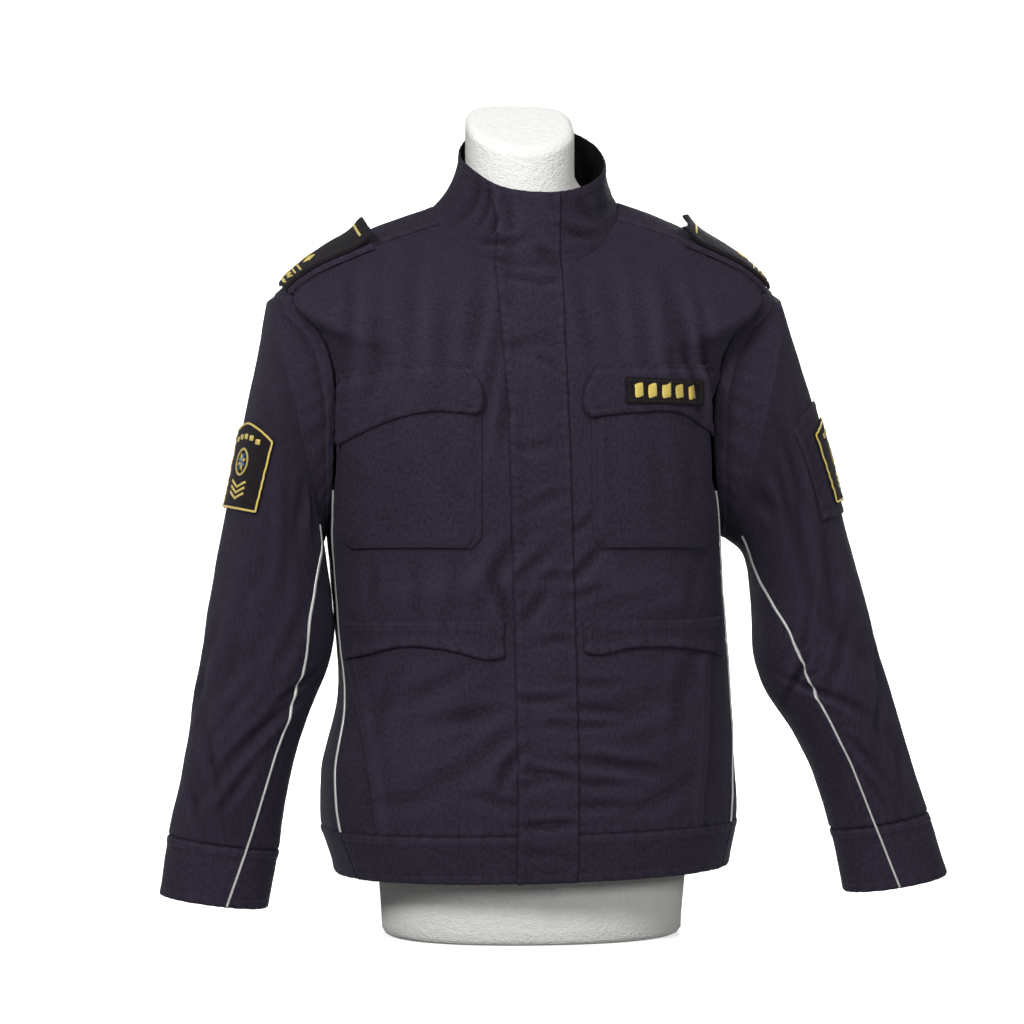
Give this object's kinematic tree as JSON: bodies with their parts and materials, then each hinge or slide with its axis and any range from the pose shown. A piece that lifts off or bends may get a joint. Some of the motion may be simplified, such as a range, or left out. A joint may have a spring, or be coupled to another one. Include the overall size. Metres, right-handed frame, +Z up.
{
  "type": "uniform jacket on a dress form",
  "caption": "Closed navy uniform jacket with stand collar, fly front, flapped pockets, shoulder straps and piped sleeves, worn by a limbless dress form that stands on a flat base.",
  "frame": {"origin": "middle of the dress form's flat base, on the surface it stands on", "axes": "+Z up along the form, -Y towards the jacket's front, +X towards the wearer's left"},
  "size_m": [0.8235, 0.3277, 0.8704],
  "materials": {
    "navy_cloth": "matt twill",
    "black_cloth": "matt felt",
    "reflective_piping": "satin reflective",
    "form_jersey": "matt knit"
  },
  "bodies": {
    "root": {"dress_form": "form_jersey", "front_right": "navy_cloth", "front_left": "navy_cloth", "side_panel_right": "navy_cloth", "side_panel_left": "navy_cloth", "back": "navy_cloth", "yoke": "navy_cloth", "collar": "navy_cloth", "placket": "navy_cloth", "hem_front_right": "navy_cloth", "hem_front_left": "navy_cloth", "hem_side_right": "navy_cloth", "hem_side_left": "navy_cloth", "hem_back": "navy_cloth", "armhole_band_right": "navy_cloth", "armhole_band_left": "navy_cloth", "sleeve_upper_right": "navy_cloth", "sleeve_upper_left": "navy_cloth", "sleeve_under_right": "navy_cloth", "sleeve_under_left": "navy_cloth", "cuff_right": "navy_cloth", "cuff_left": "navy_cloth", "chest_pocket_right": "navy_cloth", "chest_pocket_left": "navy_cloth", "chest_flap_right": "navy_cloth", "chest_flap_left": "navy_cloth", "lower_flap_right": "navy_cloth", "lower_flap_left": "navy_cloth", "shoulder_strap_right": "navy_cloth", "shoulder_strap_left": "navy_cloth", "badge_backing_left": "navy_cloth", "name_tape": "black_cloth", "rank_slide_right": "black_cloth", "rank_slide_left": "black_cloth", "sleeve_badge_right": "black_cloth", "sleeve_badge_left": "black_cloth", "piping_body_right": "reflective_piping", "piping_body_left": "reflective_piping", "piping_sleeve_right": "reflective_piping", "piping_sleeve_left": "reflective_piping"}
  },
  "joints": []
}
